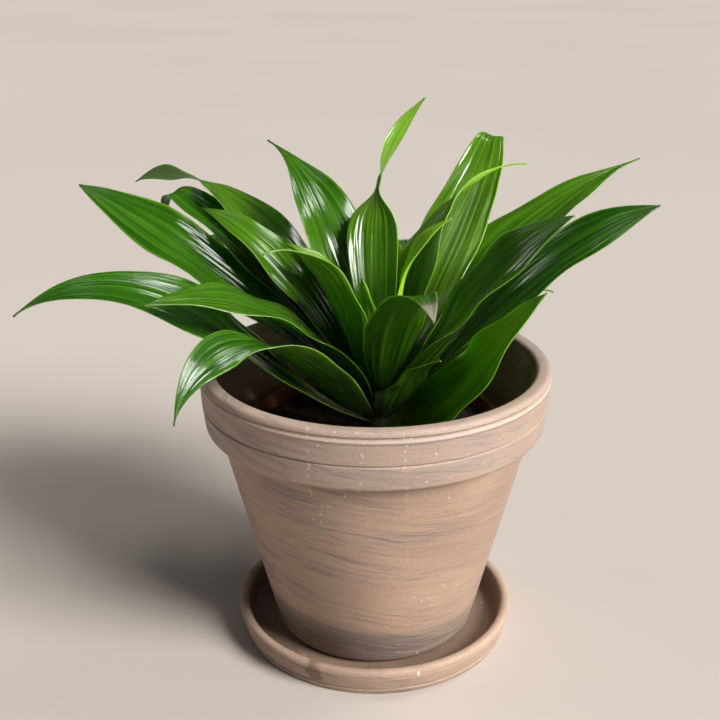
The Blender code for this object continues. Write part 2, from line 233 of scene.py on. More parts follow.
class Socket:
    """One output in a node tree. Python's operators on it add Math and Vector Math nodes."""

    def __init__(self, tree, output=None):
        self.tree = tree
        self.output = output

    def add(self, kind, settings=None, values=(), out=0):
        """Any node: its settings are set first, then its sockets' values or links."""
        node = self.tree.nodes.new(kind)
        for name, value in (settings or {}).items():
            setattr(node, name, value)
        for key, value in values.items() if isinstance(values, dict) else enumerate(values):
            self.plug(node, key, value)
        shown = [socket for socket in node.outputs if socket.enabled]
        if isinstance(out, str):
            return Socket(self.tree, node.outputs[out])
        return Socket(self.tree, shown[out] if shown else None)

    def plug(self, node, key, value):
        """Link a socket, or give it a value. Sockets go by place, or by name where shown."""
        if isinstance(key, int):
            socket = node.inputs[key]
        else:
            socket = next(s for s in node.inputs if s.name == key and s.enabled)
        if isinstance(value, Socket):
            self.tree.links.new(value.output, socket)
        elif socket.type == "RGBA":
            socket.default_value = (*value, 1.0)
        elif socket.type == "VECTOR" and not isinstance(value, tuple):
            socket.default_value = (value, value, value)
        else:
            socket.default_value = value

    def pair(self, operation, first, second):
        """The node for an operator, of the kind that its two values call for."""
        wide = is_wide(first) or is_wide(second)
        kind = "ShaderNodeVectorMath" if wide else "ShaderNodeMath"
        return self.add(kind, {"operation": operation}, [first, second])

    def __add__(self, other):
        return self.pair("ADD", self, other)

    def __radd__(self, other):
        return self.pair("ADD", other, self)

    def __sub__(self, other):
        return self.pair("SUBTRACT", self, other)

    def __rsub__(self, other):
        return self.pair("SUBTRACT", other, self)

    def __mul__(self, other):
        return self.pair("MULTIPLY", self, other)

    def __rmul__(self, other):
        return self.pair("MULTIPLY", other, self)

    def __truediv__(self, other):
        return self.pair("DIVIDE", self, other)

    def __pow__(self, other):
        return self.pair("POWER", self, other)

    def __neg__(self):
        return self.pair("MULTIPLY", self, -1.0)

    def __abs__(self):
        return self.of("ABSOLUTE")

    def __gt__(self, other):
        return self.pair("GREATER_THAN", self, other)

    def __lt__(self, other):
        return self.pair("LESS_THAN", self, other)

    def of(self, operation, *others):
        """A Math node, or a Vector Math node on a vector, by its operation's name."""
        kind = "ShaderNodeVectorMath" if is_wide(self) else "ShaderNodeMath"
        return self.add(kind, {"operation": operation}, [self, *others])

    def rise(self, low, high):
        """A smooth step from 0 at low to 1 at high."""
        return self.add("ShaderNodeMapRange", {"interpolation_type": "SMOOTHSTEP"},
                        {"Value": self, "From Min": low, "From Max": high})

    def mix(self, first, second):
        """First where this is 0, second where it is 1."""
        if not (is_wide(first) or is_wide(second)):
            data_type = "FLOAT"
        else:
            data_type = "RGBA" if self.tree.type == "SHADER" else "VECTOR"
        return self.add("ShaderNodeMix", {"data_type": data_type},
                        {"Factor": self, "A": first, "B": second})

    def split(self):
        """A vector's three parts."""
        parts = self.add("ShaderNodeSeparateXYZ", values=[self])
        return [Socket(self.tree, output) for output in parts.output.node.outputs]

    def join(self, x, y, z):
        """A vector of three parts."""
        return self.add("ShaderNodeCombineXYZ", values=[x, y, z])

    def noise(self, place, scale, detail=2.0, roughness=0.5, distortion=0.0):
        """Cloudy noise from 0 to 1, about 0.5."""
        return self.add("ShaderNodeTexNoise", {"noise_dimensions": "3D"},
                        {"Vector": place, "Scale": scale, "Detail": detail,
                         "Roughness": roughness, "Distortion": distortion})


def is_wide(value):
    """Whether a value is a vector or a colour."""
    if isinstance(value, Socket):
        return value.output.type in ("VECTOR", "RGBA")
    return isinstance(value, tuple)


def node_tree(name, numbers, counts=()):
    """A Geometry Nodes tree with named inputs, and its inputs as sockets by name."""
    tree = bpy.data.node_groups.new(name, "GeometryNodeTree")
    inputs = [("Base", "NodeSocketGeometry")]
    inputs += [(number, "NodeSocketFloat") for number in numbers]
    inputs += [(count, "NodeSocketInt") for count in counts]
    inputs.append(("Finish", "NodeSocketMaterial"))
    for input_name, kind in inputs:
        tree.interface.new_socket(name=input_name, in_out="INPUT", socket_type=kind)
    tree.interface.new_socket(name="Shape", in_out="OUTPUT", socket_type="NodeSocketGeometry")
    entry = tree.nodes.new("NodeGroupInput")
    return {socket.name: Socket(tree, socket) for socket in entry.outputs if socket.name}


def close_tree(shape, finish):
    """The end of a tree: real meshes, with their material."""
    real = shape.add("GeometryNodeRealizeInstances", values={"Geometry": shape})
    painted = real.add("GeometryNodeSetMaterial", values={"Geometry": real, "Material": finish})
    painted.add("NodeGroupOutput", values=[painted])


def keep_attribute(shape, name, value):
    """Keep a value at each point, for a material to read by its name."""
    return shape.add("GeometryNodeStoreNamedAttribute", {"data_type": "FLOAT", "domain": "POINT"},
                     {"Geometry": shape, "Name": name, "Value": value})


def grow(name, tree, values, base=None):
    """An object whose plain mesh a node tree made, from values by the names of its inputs."""
    piece = bpy.data.objects.new(name, base or bpy.data.meshes.new(name))
    bpy.context.scene.collection.objects.link(piece)
    modifier = piece.modifiers.new("shape", "NODES")
    modifier.node_group = tree
    for item in tree.interface.items_tree:
        if item.in_out == "INPUT" and item.name in values:
            modifier[item.identifier] = values[item.name]
    depsgraph = bpy.context.evaluated_depsgraph_get()
    mesh = bpy.data.meshes.new_from_object(piece.evaluated_get(depsgraph))
    piece.modifiers.remove(modifier)
    piece.data = mesh
    mesh.name = name
    return piece


LEAF_NUMBERS = (
    "Azimuth", "Seat Height", "Length", "Width", "Rise Base", "Rise Middle", "Rise Tip", "Turn",
    "Roll Base", "Roll Tip", "Widest", "Point", "Clasp", "Hook", "Hook At", "Neck", "Neck At",
    "Neck Span", "Twist", "Phase", "Stem X", "Seat Radius", "Thickness", "Tip Width", "Channel",
    "Wave", "Waves", "Pleat Depth", "Pleats", "Youth Base", "Youth Tip", "Bloom",
)
TWIST_SPAN = 0.1
HALF_TURN = 180.0


def leaf_tree():
    """Grow a leaf blade: a tube of stations along its midrib and columns round its section,
    flattened to a pleated channel with waved margins that clasps the stem at its base."""
    given = node_tree("leaf_blade", LEAF_NUMBERS, ("Stations", "Columns"))
    stations = given["Stations"]

    def radians(degrees):
        return degrees * (math.pi / HALF_TURN)

    def bearing(s):
        """Slope and heading of the midrib at share s of its length, and the way ahead."""
        slope = (given["Rise Base"] * (1 - s) * (1 - 2 * s) + 4 * given["Rise Middle"] * s * (1 - s)
                 + given["Rise Tip"] * s * (2 * s - 1))
        slope = radians(slope - given["Hook"] * s.rise(given["Hook At"], 1.0))
        heading = radians(given["Azimuth"] + given["Turn"] * s * s)
        level = slope.of("COSINE")
        ahead = s.join(level * heading.of("COSINE"), level * heading.of("SINE"), slope.of("SINE"))
        return slope, heading, ahead

    # The midrib, a line of points one station apart
    index = stations.add("GeometryNodeInputIndex")
    stride = given["Length"] / stations
    ahead = bearing((index - 0.5) / stations)[2]
    step = ahead * (stride * (index > 0.5))
    walked = step.add("GeometryNodeAccumulateField", {"data_type": "FLOAT_VECTOR"}, {"Value": step})
    azimuth = radians(given["Azimuth"])
    seat = index.join(given["Stem X"] + given["Seat Radius"] * azimuth.of("COSINE"),
                      given["Seat Radius"] * azimuth.of("SINE"), given["Seat Height"])
    line = index.add("GeometryNodeMeshLine", values={"Count": stations + 1})
    midrib = line.add("GeometryNodeSetPosition",
                      values={"Geometry": line, "Position": seat + walked})

    # The blade's section is a tube, its upper face where y is above 0
    tube = line.add("GeometryNodeMeshCylinder", {"fill_type": "NGON"},
                    {"Vertices": given["Columns"] * 2, "Side Segments": stations,
                     "Radius": 1.0, "Depth": 1.0}, out="Mesh")
    place = line.add("GeometryNodeInputPosition")
    x, y, z = place.split()
    s = z + 0.5
    v = 1 - abs(y.of("ARCTAN2", x)) * (2 / math.pi)
    upper = (y * 1000.0 + 0.5).of("MINIMUM", 1.0).of("MAXIMUM", 0.0)
    ring = (s * stations).of("ROUND")
    spine = midrib.add("GeometryNodeSampleIndex", {"data_type": "FLOAT_VECTOR", "domain": "POINT"},
                       {"Geometry": midrib, "Value": place, "Index": ring})

    slope, heading, ahead = bearing(s)
    lean = given["Roll Base"] + (given["Roll Tip"] - given["Roll Base"]) * s
    twisted = s.rise(given["Neck At"] - TWIST_SPAN, given["Neck At"] + TWIST_SPAN)
    lean = radians(lean + given["Twist"] * twisted)
    level = s.join(-heading.of("SINE"), heading.of("COSINE"), 0.0)
    across = level * lean.of("COSINE") + ahead.of("CROSS_PRODUCT", level) * lean.of("SINE")
    above = ahead.of("CROSS_PRODUCT", across)

    # Half the width: slender at the stem, widest part way, drawn out to the tip
    rise = given["Point"] * given["Widest"] / (1 - given["Widest"])
    outline = s ** rise * (1 - s).of("MAXIMUM", 0.0) ** given["Point"]
    outline = outline / (given["Widest"] ** rise * (1 - given["Widest"]) ** given["Point"])
    clasp = given["Clasp"] * (1 - s) ** 3.0
    outline = outline * (1 - clasp) + clasp
    from_neck = (s - given["Neck At"]) / given["Neck Span"]
    necked = given["Neck"] * (-(from_neck * from_neck)).of("EXPONENT")
    fray = line.noise(s.join(s * 9.0, v.of("SIGN"), given["Phase"]), 1.0) - 0.5
    half = given["Width"] * 0.5 * outline * (1 - necked) * (1 + 0.06 * fray)
    half = half.of("MAXIMUM", given["Tip Width"] * 0.5)

    # The section's arc, with a wave that grows towards the margins
    spine_x, spine_y = spine.split()[:2]
    from_stem = spine.join(spine_x - given["Stem X"], spine_y, 0.0).of("LENGTH")
    opened = s.rise(0.15, 0.65)
    nested = (half * abs(slope.of("SINE")) / from_stem).of("MAXIMUM", 0.001)
    curl = nested * (1 - opened) + radians(given["Channel"]) * opened
    bend = v * curl
    side = half * bend.of("SINE") / curl
    height = half * (1 - bend.of("COSINE")) / curl
    wave = (math.tau * (given["Waves"] * s + given["Phase"]) + 1.6 * v).of("SINE")
    height = height + given["Wave"] * half * v * v * wave * s.rise(0.2, 0.5)

    # Pleats run its length and fade at the margins and the ends, and a fine crease is the midrib
    folds = line.noise(s.join(v * given["Pleats"], s * 1.2, given["Phase"] * 7.0), 1.0, detail=1.0)
    calm = (1 - abs(v) ** 5.0) * s.rise(0.04, 0.2) * (1 - s.rise(0.86, 1.0))
    fullness = half / (given["Width"] * 0.5)
    crease = (-(v * v) * 900.0).of("EXPONENT") * 0.35
    pleat = given["Pleat Depth"] * fullness * calm * ((folds - 0.5) * 4.0 - crease)
    plump = (1 - (v * v) ** 4.0).of("MAXIMUM", 0.0).of("SQRT")
    skin = given["Thickness"] * (upper - 0.5) * plump
    lifted = pleat + skin
    side = side - bend.of("SINE") * lifted
    height = height + bend.of("COSINE") * lifted

    # What the finish needs is kept while each point's place still tells where on the tube it is
    youth = s.rise(0.1, 0.95).mix(given["Youth Base"], given["Youth Tip"])
    dull = given["Bloom"] * (s.rise(0.88, 1.0) + 2.0 * necked).of("MINIMUM", 1.0)
    kept = {"across": v, "along": s, "upper": upper, "youth": youth, "dull": dull,
            "phase": given["Phase"]}
    for name, value in kept.items():
        tube = keep_attribute(tube, name, value)
    blade = tube.add("GeometryNodeSetPosition",
                     values={"Geometry": tube, "Position": spine + across * side + above * height})
    blade = blade.add("GeometryNodeSetShadeSmooth", {"domain": "FACE"}, {"Geometry": blade})
    close_tree(blade, given["Finish"])
    return blade.tree


def make_leaf(number, leaf, tree, finish):
    """One leaf, from its own sizes and those that all leaves share."""
    values = {
        "Azimuth": leaf.azimuth, "Seat Height": leaf.seat * MM, "Length": leaf.length * MM,
        "Width": leaf.width * MM, "Rise Base": leaf.rise[0], "Rise Middle": leaf.rise[1],
        "Rise Tip": leaf.rise[2], "Turn": leaf.turn, "Roll Base": leaf.roll[0],
        "Roll Tip": leaf.roll[1], "Widest": leaf.widest, "Point": leaf.point,
        "Clasp": leaf.clasp, "Hook": leaf.hook, "Hook At": leaf.hook_at, "Neck": leaf.neck,
        "Neck At": leaf.neck_at, "Neck Span": leaf.neck_span, "Twist": leaf.twist,
        "Phase": number * GOLDEN_TURN, "Stem X": STEM_X * MM, "Seat Radius": SEAT_RADIUS * MM,
        "Thickness": BLADE * MM, "Tip Width": TIP_WIDTH * MM, "Channel": CHANNEL,
        "Wave": WAVE, "Waves": WAVES, "Pleat Depth": PLEAT_DEPTH * MM, "Pleats": PLEATS,
        "Youth Base": leaf.youth[0], "Youth Tip": leaf.youth[1], "Bloom": leaf.bloom,
    }
    settings = {name: float(value) for name, value in values.items()}
    settings.update({"Stations": STATIONS, "Columns": COLUMNS, "Finish": finish})
    piece = grow(f"blade_{number:02d}", tree, settings)
    dress(piece, f"leaf_{number:02d}")


def dress(piece, node):
    """Let a piece stand for its node of the frame."""
    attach(piece, BODY)
    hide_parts(node)


def softened(corners, steps=6):
    """A profile through (radius, height, rounding) corners, each rounded by a short curve."""
    points = []
    for i, (radius, height, rounding) in enumerate(corners):
        corner = Vector((radius, height))
        if not rounding:
            points.append(corner)
            continue
        before = Vector(corners[i - 1][:2])
        after = Vector(corners[(i + 1) % len(corners)][:2])
        start = corner + (before - corner).normalized() * rounding
        end = corner + (after - corner).normalized() * rounding
        for k in range(steps + 1):
            t = k / steps
            points.append(start * (1 - t) ** 2 + corner * 2 * t * (1 - t) + end * t * t)
    return [(point.x, point.y) for point in points]


def turned(name, profile, sides, finish, offset=None, lift=None, closed=False):
    """Turn a profile of (radius, height) millimetres about an upright axis.

    A point at radius 0 closes the shape on its axis. A closed profile makes a ring. Offset
    moves a ring along X, from its radius and height. Lift gives a point's extra height.
    """
    shape = bmesh.new()
    rings = []
    for radius, z in profile:
        count = sides if radius > 0 else 1
        centre_x = offset(radius, z) if offset else 0.0
        ring = []
        for k in range(count):
            a = math.tau * k / sides
            point = Vector((centre_x + radius * math.cos(a), radius * math.sin(a), z))
            if lift:
                point.z += lift(radius, a, z)
            ring.append(shape.verts.new(point * MM))
        rings.append(ring)
    pairs = list(zip(rings, rings[1:]))
    if closed:
        pairs.append((rings[-1], rings[0]))
    for low, high in pairs:
        for k in range(sides):
            corners = [low[k % len(low)], low[(k + 1) % len(low)],
                       high[(k + 1) % len(high)], high[k % len(high)]]
            shape.faces.new(list(dict.fromkeys(corners)))
    bmesh.ops.recalc_face_normals(shape, faces=shape.faces[:])
    mesh = bpy.data.meshes.new(name)
    shape.to_mesh(mesh)
    shape.free()
    mesh.shade_smooth()
    mesh.set_sharp_from_angle(angle=math.radians(50))
    mesh.materials.append(finish)
    piece = bpy.data.objects.new(name, mesh)
    bpy.context.scene.collection.objects.link(piece)
    return piece


def make_saucer(finish):
    """A low dish with a rounded lip and fine lines left by the wheel."""
    outer = SAUCER_FOOT_RADIUS
    corners = [
        (0.0, 0.0, 0.0),
        (outer, 0.0, 1.0),
        (outer + 0.7, 2.6, 0.3),
        (outer + 0.2, 3.1, 0.25),
        (outer + 1.0, 3.6, 0.3),
        (SAUCER_LIP_RADIUS - 0.3, 9.6, 0.4),
        (SAUCER_LIP_RADIUS - 0.5, 10.0, 0.2),
        (SAUCER_LIP_RADIUS, 10.4, 0.4),
        (SAUCER_LIP_RADIUS, SAUCER_HEIGHT, 2.1),
        (SAUCER_LIP_INNER_RADIUS, SAUCER_HEIGHT, 2.1),
        (SAUCER_FLOOR_RADIUS + 1.5, SAUCER_FLOOR + 1.2, 1.0),
        (SAUCER_FLOOR_RADIUS - 1.0, SAUCER_FLOOR, 1.5),
        (0.0, SAUCER_FLOOR, 0.0),
    ]
    piece = turned("clay_saucer", softened(corners), CLAY_SIDES, finish)
    dress(piece, "saucer")


def make_clay_pot(finish):
    """A tapered pot with a collar, an incised line, a bead and a groove under its lip."""
    floor = POT_BASE + POT_FLOOR
    inner_foot = POT_FOOT_RADIUS - POT_WALL
    collar = COLLAR_RADIUS
    corners = [
        (DRAIN_HOLE_RADIUS, POT_BASE, 0.6),
        (POT_FOOT_RADIUS, POT_BASE, 4.5),
        (POT_SHOULDER_RADIUS, COLLAR_BOTTOM - 0.4, 0.9),
        (COLLAR_BOTTOM_RADIUS, COLLAR_BOTTOM, 1.8),
        (collar - 0.9, INCISED_LINE - 0.7, 0.3),
        (collar - 1.6, INCISED_LINE, 0.3),
        (collar - 0.7, INCISED_LINE + 0.6, 0.3),
        (collar - 0.5, BEAD - 1.1, 0.4),
        (collar + 0.1, BEAD, 0.5),
        (collar - 0.3, BEAD + 0.8, 0.3),
        (collar - 0.9, GROOVE, 0.4),
        (collar - 0.1, GROOVE + 0.9, 0.3),
        (collar - 0.6, POT_TOP, 2.0),
        (MOUTH_RADIUS, POT_TOP, 2.4),
        (POT_SHOULDER_RADIUS - POT_WALL, COLLAR_BOTTOM - 8.0, 6.0),
        (inner_foot, floor, 2.5),
        (DRAIN_HOLE_RADIUS, floor, 0.6),
    ]
    piece = turned("terracotta_pot", softened(corners), CLAY_SIDES, finish, closed=True)
    dress(piece, "clay_pot")


def make_nursery_pot(finish):
    """A thin moulded pot with a rolled rim and drainage holes in its floor."""
    rim = 3.0
    floor = NURSERY_BASE + NURSERY_WALL
    inner_rim = NURSERY_RADIUS - NURSERY_WALL
    corners = [
        (0.0, NURSERY_BASE, 0.0),
        (NURSERY_FOOT_RADIUS, NURSERY_BASE, 1.2),
        (NURSERY_RADIUS, NURSERY_TOP - rim, 0.2),
        (NURSERY_RIM_RADIUS, NURSERY_TOP - rim, 0.3),
        (NURSERY_RIM_RADIUS, NURSERY_TOP, 0.6),
        (inner_rim, NURSERY_TOP, 0.6),
        (NURSERY_FOOT_RADIUS - NURSERY_WALL, floor, 1.0),
        (0.0, floor, 0.0),
    ]
    piece = turned("grower_pot", softened(corners, 4), NURSERY_SIDES, finish)
    punch = bmesh.new()
    for k in range(SLOT_COUNT):
        a = math.tau * k / SLOT_COUNT
        place = Vector((SLOT_RING * math.cos(a), SLOT_RING * math.sin(a), NURSERY_BASE)) * MM
        bmesh.ops.create_cone(punch, cap_ends=True, segments=32, radius1=SLOT_RADIUS * MM,
                              radius2=SLOT_RADIUS * MM, depth=6 * MM,
                              matrix=Matrix.Translation(place))
    punch_mesh = bpy.data.meshes.new("drain_punch")
    punch.to_mesh(punch_mesh)
    punch.free()
    puncher = bpy.data.objects.new("drain_punch", punch_mesh)
    bpy.context.scene.collection.objects.link(puncher)
    cut = piece.modifiers.new("drain_holes", "BOOLEAN")
    cut.operation = "DIFFERENCE"
    cut.object = puncher
    depsgraph = bpy.context.evaluated_depsgraph_get()
    drained = bpy.data.meshes.new_from_object(piece.evaluated_get(depsgraph))
    piece.modifiers.remove(cut)
    piece.data = drained
    bpy.data.objects.remove(puncher)
    dress(piece, "nursery_pot")


def crumb_tree():
    """Strew crumbs over the upward faces of a base shape."""
    given = node_tree("crumbs", ("Crumb Size", "Density", "Stem X", "Stem Clearance"), ("Seed",))
    base = given["Base"]
    normal = base.add("GeometryNodeInputNormal")
    x, y = base.add("GeometryNodeInputPosition").split()[:2]
    clear = base.join(x - given["Stem X"], y, 0.0).of("LENGTH") > given["Stem Clearance"]
    strewn = base.add("GeometryNodeDistributePointsOnFaces", {"distribute_method": "RANDOM"},
                      {"Mesh": base, "Selection": (normal.split()[2] > 0.7) * clear,
                       "Density": given["Density"], "Seed": given["Seed"]}, out="Points")
    lump = base.add("GeometryNodeMeshIcoSphere", values={"Radius": given["Crumb Size"],
                                                         "Subdivisions": 2}, out="Mesh")
    place = base.add("GeometryNodeInputPosition")
    rough = base.noise(place, 900.0) - 0.5
    lump = lump.add("GeometryNodeSetPosition",
                    values={"Geometry": lump, "Position": place * (1 + 1.1 * rough)})

    def chance(low, high, seed, wide=False):
        """A random value for each crumb, between low and high."""
        data_type = "FLOAT_VECTOR" if wide else "FLOAT"
        return base.add("FunctionNodeRandomValue", {"data_type": data_type},
                        {"Min": low, "Max": high, "Seed": seed})

    squash = chance((0.5, 0.4, 0.3), (1.5, 1.0, 0.8), 1, wide=True)
    spin = chance((0.0, 0.0, 0.0), (math.tau, math.tau, math.tau), 2, wide=True)
    grain = chance(0.25, 1.0, 3)
    crumbs = strewn.add("GeometryNodeInstanceOnPoints",
                        values={"Points": strewn, "Instance": lump, "Rotation": spin,
                                "Scale": squash * (0.3 + grain * grain)})
    joined = crumbs.add("GeometryNodeJoinGeometry")
    for part in (base, crumbs):
        joined.tree.links.new(part.output, joined.output.node.inputs["Geometry"])
    close_tree(joined, given["Finish"])
    return joined.tree


def make_soil(finish):
    """Dark potting soil with a lumpy top, strewn with crumbs, round a plain hole for the stem."""
    bottom = NURSERY_BASE + NURSERY_WALL + GAP
    slope = (NURSERY_RADIUS - NURSERY_FOOT_RADIUS) / (NURSERY_TOP - NURSERY_BASE)
    foot = NURSERY_FOOT_RADIUS - NURSERY_WALL - 2 * GAP
    edge = foot + slope * (SOIL_TOP - bottom)
    hole = STEM_RADIUS + GAP

    def round_the_stem(radius, z):
        """How far a ring's centre moves towards the stem's hole."""
        return 0.0 if z < STEM_FOOT else STEM_X * min(1.0, (edge - radius) / (edge - hole))

    def lumps(radius, angle, z):
        """The soil's uneven top, calm at its edge and at the stem."""
        if z < SOIL_TOP - 0.1:
            return 0.0
        place = Vector((radius * math.cos(angle), radius * math.sin(angle), 0.0))
        rough = noise.fractal(place * 0.12, 0.8, 2.2, 4)
        calm = min(1.0, (edge - radius) / 2.0, (radius - hole) / 2.0)
        return 1.5 * SOIL_LUMP * rough * max(0.0, calm)

    top = [(hole + (edge - hole) * i / SOIL_RINGS, SOIL_TOP) for i in range(SOIL_RINGS + 1)]
    profile = [(0.0, STEM_FOOT), (hole, STEM_FOOT), *top, (foot, bottom), (0.0, bottom)]
    ball = turned("soil_ball", profile, NURSERY_SIDES, finish, offset=round_the_stem, lift=lumps)
    settings = {"Crumb Size": CRUMB_SIZE * MM, "Density": CRUMBS_PER_SQUARE_METRE,
                "Stem X": STEM_X * MM, "Stem Clearance": (hole + CRUMB_SIZE) * MM,
                "Seed": CRUMB_SEED, "Finish": finish}
    piece = grow("soil", crumb_tree(), settings, base=ball.data)
    bpy.data.objects.remove(ball)
    dress(piece, "potting_soil")


def make_stem(finish):
    """The short stem, ringed by the scars of old leaves."""
    profile = [(0.0, STEM_FOOT + GAP)]
    for i in range(STEM_RINGS + 1):
        z = STEM_FOOT + GAP + (STEM_TOP - 3.0 - STEM_FOOT - GAP) * i / STEM_RINGS
        scar = SCAR_DEPTH * (0.5 + 0.5 * math.cos(z * SCARS_PER_TURN)) ** 4
        profile.append((STEM_RADIUS - scar, z))
    profile += [(0.8 * STEM_RADIUS, STEM_TOP - 0.9), (0.0, STEM_TOP)]
    piece = turned("leafy_stem", profile, STEM_SIDES, finish, offset=lambda radius, z: STEM_X)
    dress(piece, "stem")


def finish_start(name):
    """A new material: a bare socket of its tree, and its Principled node."""
    made = bpy.data.materials.new(name)
    made.use_nodes = True
    return made, Socket(made.node_tree), made.node_tree.nodes["Principled BSDF"]


def clay_finish(name, stained):
    """Matt taupe clay, drawn out in darker streaks, with wheel lines, grit and lime."""
    made, start, shader = finish_start(name)
    place = start.add("ShaderNodeTexCoord", out="Object")
    x, y, z = place.split()
    swirl = start.noise(place, 14.0, 2.0) - 0.5
    tilted = z + 0.15 * x + 0.014 * swirl
    drawn = start.noise(start.join(x * 22.0, y * 22.0, tilted * 420.0), 1.0, 5.0, 0.65, 0.2)
    broad = start.noise(start.join(x * 12.0, y * 12.0, tilted * 60.0), 1.0, 2.0, 0.5, 0.3)
    cloud = start.noise(place, 22.0, 3.0)
    wisps = start.noise(start.join(x * 70.0, y * 70.0, tilted * 1100.0), 1.0, 3.0, 0.6)
    fine_wisps = wisps.rise(0.42, 0.58)
    dark = drawn.rise(0.45, 0.62) * broad.rise(0.38, 0.60) * (0.45 + 0.75 * fine_wisps)
    dark = (dark * 0.8 + 0.22 * broad.rise(0.50, 0.70)) * (1 - 0.6 * x.rise(-0.01, 0.05))
    pale = drawn.rise(0.48, 0.3) * 0.5
    colour = cloud.rise(0.3, 0.7).mix(CLAY, CLAY_WARM)
    colour = pale.mix(colour, CLAY_PALE)
    colour = (dark * 0.8).mix(colour, CLAY_STREAK)
    if stained:
        collar = z.rise((COLLAR_BOTTOM - 1) * MM, (COLLAR_BOTTOM + 1) * MM)
        colour = (collar * 0.35).mix(colour, COLLAR_GREY)
        streak = collar * drawn.rise(0.48, 0.62) * fine_wisps * 0.6
        colour = streak.mix(colour, COLLAR_STREAK)
        # A thin pale line along the bead: a painted highlight
        bead = 1 - abs(z - (BEAD + 0.6) * MM).rise(0.2 * MM, 0.7 * MM)
        colour = (bead * 0.45).mix(colour, BEAD_HIGHLIGHT)
        band = 1 - abs(z - DAMP_HEIGHT * MM + 0.1 * x).rise(4 * MM, 9 * MM)
        damp = band * (1 - y.rise(-0.03, 0.0)) * (0.3 + 0.7 * drawn.rise(0.36, 0.56))
        low = 1 - z.rise(8 * MM, 26 * MM)
        stain = (damp * 0.85).of("MAXIMUM", low * drawn.rise(0.25, 0.55) * 0.8)
        colour = (stain * (0.7 + 0.3 * wisps)).mix(colour, FOOT_DAMP)
    else:
        inside = (1 - start.join(x, y, 0.0).of("LENGTH").rise(61 * MM, 63 * MM)) * (z > MM)
        colour = (inside * 0.65).mix(colour, SAUCER_INSIDE)
        stain_x, stain_y, stain_z = (middle * MM for middle in LIP_STAIN)
        patch = start.join(x - stain_x, y - stain_y, (z - stain_z) * 0.7).of("LENGTH")
        patch = patch + 0.006 * (start.noise(place, 220.0, 3.0) - 0.5)
        patch = 1 - patch.rise(0.6 * LIP_STAIN_RADIUS * MM, LIP_STAIN_RADIUS * MM)
        colour = (patch * 0.7).mix(colour, LIP_BROWN)
    grit = start.noise(place, 1500.0, 2.0)
    colour = grit.rise(0.3, 0.75).mix(colour * 0.89, colour * 1.10)

    def specks(scale, size, share, stretch=1.0):
        """Small spots, each in its own cell, in a share of the cells."""
        cells = {"Vector": start.join(x, y, z * stretch), "Scale": scale}
        spot = start.add("ShaderNodeTexVoronoi", {"feature": "F1"}, cells, out="Distance")
        chosen = start.add("ShaderNodeTexVoronoi", {"feature": "F1"}, cells, out="Color")
        return (1 - spot.rise(size * 0.5, size)) * (chosen.split()[0] < share)

    lime = specks(160.0, 0.12, 0.12, 0.35).of("MAXIMUM", specks(300.0, 0.16, 0.09))
    rust = specks(210.0, 0.16, 0.05)
    if stained:
        broken = start.noise(place, 520.0, 3.0).rise(0.52, 0.62)
        for run in LIME_RUNS:
            wander = x - run * MM + 0.010 * (start.noise(place, 70.0, 3.0) - 0.5)
            drip = 1 - abs(wander).rise(0.15 * MM, LIME_RUN_WIDTH * MM)
            drip = drip * broken * (y < 0.0) * z.rise(80 * MM, 115 * MM) * 0.55
            lime = lime.of("MAXIMUM", drip)
    colour = (lime * 0.75).mix(colour, LIME)
    colour = (rust * 0.8).mix(colour, RUST)
    start.plug(shader, "Base Color", colour)
    start.plug(shader, "Roughness", 0.54 + 0.2 * cloud)
    lines = start.noise(start.join(x * 6.0, y * 6.0, z * 900.0), 1.0, 2.0)
    relief = 0.6 * lines + 0.35 * grit - 0.5 * dark
    bump = start.add("ShaderNodeBump", None,
                     {"Height": relief, "Strength": 0.45, "Distance": 0.0004})
    start.plug(shader, "Normal", bump)
    return made


def nursery_finish():
    """Thin rust-brown plastic, scuffed and dusted with soil."""
    made, start, shader = finish_start("nursery_plastic")
    place = start.add("ShaderNodeTexCoord", out="Object")
    dust = start.noise(place, 60.0, 4.0, 0.6).rise(0.45, 0.75)
    fine = start.noise(place, 700.0, 2.0)
    colour = dust.mix(PLASTIC, PLASTIC_DUSTY)
    start.plug(shader, "Base Color", colour * (0.85 + 0.3 * fine))
    start.plug(shader, "Roughness", 0.38 + 0.3 * dust)
    bump = start.add("ShaderNodeBump", None,
                     {"Height": fine, "Strength": 0.15, "Distance": 0.0002})
    start.plug(shader, "Normal", bump)
    return made


def soil_finish():
    """Dark, nearly black potting soil with reddish brown fibres."""
    made, start, shader = finish_start("soil")
    place = start.add("ShaderNodeTexCoord", out="Object")
    clods = start.noise(place, 170.0, 4.0, 0.6)
    fibres = start.noise(place * (1.0, 3.0, 1.0), 500.0, 3.0, 0.6, 1.5)
    colour = clods.rise(0.35, 0.65).mix(SOIL_BLACK, SOIL_BROWN)
    colour = (fibres.rise(0.6, 0.72) * 0.6).mix(colour, SOIL_FIBRE)
    start.plug(shader, "Base Color", colour)
    start.plug(shader, "Roughness", 0.8 + 0.15 * clods)
    bump = start.add("ShaderNodeBump", None,
                     {"Height": clods + 0.5 * fibres, "Strength": 0.6, "Distance": 0.0008})
    start.plug(shader, "Normal", bump)
    return made


